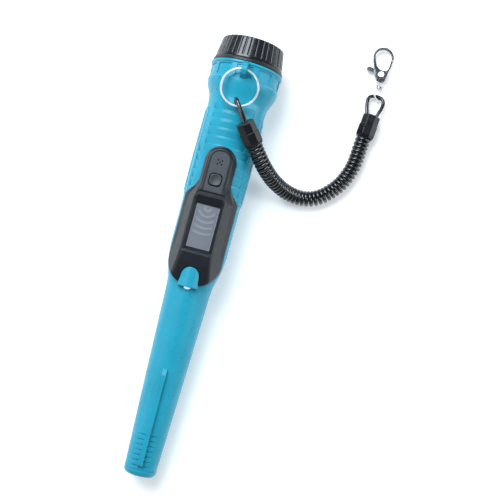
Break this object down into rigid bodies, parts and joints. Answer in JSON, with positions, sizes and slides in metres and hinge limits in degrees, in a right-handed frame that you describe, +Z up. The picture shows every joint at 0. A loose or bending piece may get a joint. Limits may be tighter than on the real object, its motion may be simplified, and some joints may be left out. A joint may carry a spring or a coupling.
{
  "type": "pinpointer probe",
  "caption": "Handheld pinpointing metal detector probe with a display panel, ribbed battery cap and curly wrist lanyard on a split ring.",
  "frame": {"origin": "centre of the probe's footprint, on the floor that it lies on, without the lanyard", "axes": "+Y along the probe from the tip to the battery cap, +Z up out of the panel side, +X towards the lanyard"},
  "size_m": [0.1028, 0.2745, 0.0464],
  "materials": {
    "housing": "satin moulded teal ABS",
    "panel": "fine moulded texture",
    "key_plate": "fine moulded texture",
    "key": "moulded silicone key",
    "cap": "ribbed moulded cap",
    "seal": "moulded seal",
    "foam": "closed-cell foam",
    "inner_plastic": "natural moulded plastic",
    "window": "printed polycarbonate window",
    "screen": "display glass",
    "light_guide": "clear acrylic",
    "board": "solder-masked laminate",
    "component": "moulded component bodies",
    "steel": "plain steel",
    "contact": "nickel-plated contacts",
    "wire": "insulated hook-up wire",
    "battery_case": "lacquered steel case",
    "ferrite": "sintered ferrite",
    "copper": "enamelled copper winding",
    "lamp": "clear epoxy lamp",
    "chrome": "polished chrome plate",
    "nickel": "bright nickel plate, tumbled",
    "cord": "glossy black polyurethane cord",
    "ferrule": "glossy moulded end piece"
  },
  "bodies": {
    "root": {"front_housing": "housing", "rear_housing": "housing", "neck_collar": "housing", "control_panel": "panel", "key_plate": "key_plate", "switch_body": "inner_plastic", "display_window": "window", "display_module": "screen", "backlight": "light_guide", "circuit_board": "board", "board_components": "component", "board_screws": "steel", "buzzer": "component", "buzzer_membrane": "seal", "vibration_motor": "steel", "headlight_led": "lamp", "lamp_leads": "wire", "battery": "battery_case", "battery_terminals": "contact", "contact_plate": "board", "contact_springs": "contact", "battery_leads": "wire", "ferrite_rod": "ferrite", "coil_bobbin": "inner_plastic", "search_coil": "copper", "front_rod_holder": "foam", "rear_rod_holder": "foam", "sensor_leads": "wire", "lanyard_loop_ring_end": "cord", "lanyard_ferrule_ring_end": "ferrule", "lanyard_coil": "cord", "lanyard_ferrule_clip_end": "ferrule", "lanyard_loop_clip_end": "cord", "swivel_eye": "nickel"},
    "seal_carrier": {"sealing_ring": "seal"},
    "cap": {"battery_cap": "cap", "cap_pad": "foam"},
    "button": {"power_button": "key", "switch_plunger": "inner_plastic"},
    "ring": {"split_ring": "nickel"},
    "weight": {"motor_weight": "steel"},
    "clasp": {"clasp_hook": "chrome", "clasp_rivet": "nickel", "clasp_spring": "steel"},
    "gate": {"clasp_gate": "chrome"}
  },
  "joints": [
    {"name": "cap_lift", "type": "slide", "parent": "root", "child": "seal_carrier", "axis": [0, 0.9992, 0.0402], "range_m": [0, 0.0101]},
    {"name": "cap_turn", "type": "hinge", "parent": "seal_carrier", "child": "cap", "pos_m": [0, 0.1147, 0.02088], "axis": [0, 0.9992, 0.0402], "range_deg": [0, 900]},
    {"name": "button_press", "type": "slide", "parent": "root", "child": "button", "axis": [0, 0.0402, -0.9992], "range_m": [0, 0.0008], "stiffness_N_per_m": 400, "springref_m": -0.0006},
    {"name": "ring_swing", "type": "hinge", "parent": "root", "child": "ring", "pos_m": [0, 0.10358, 0.04345], "axis": [-1, 0, 0], "range_deg": [0, 2]},
    {"name": "motor_spin", "type": "hinge", "parent": "root", "child": "weight", "pos_m": [0, 0.04887, 0.00772], "axis": [0, 0.9992, 0.0402], "continuous": true},
    {"name": "clasp_swivel", "type": "hinge", "parent": "root", "child": "clasp", "pos_m": [0.076, 0.1282, 0.0028], "axis": [-0.134, 0.991, 0], "continuous": true},
    {"name": "gate_open", "type": "hinge", "parent": "clasp", "child": "gate", "pos_m": [0.07559, 0.13248, 0.0028], "axis": [0, 0, 1], "range_deg": [0, 28], "stiffness_Nm_per_rad": 0.004, "springref_deg": -17.19}
  ],
  "couplings": [
    {"joint": "cap_lift", "follows": "cap_turn", "m_per_rad": 0.00063662}
  ]
}
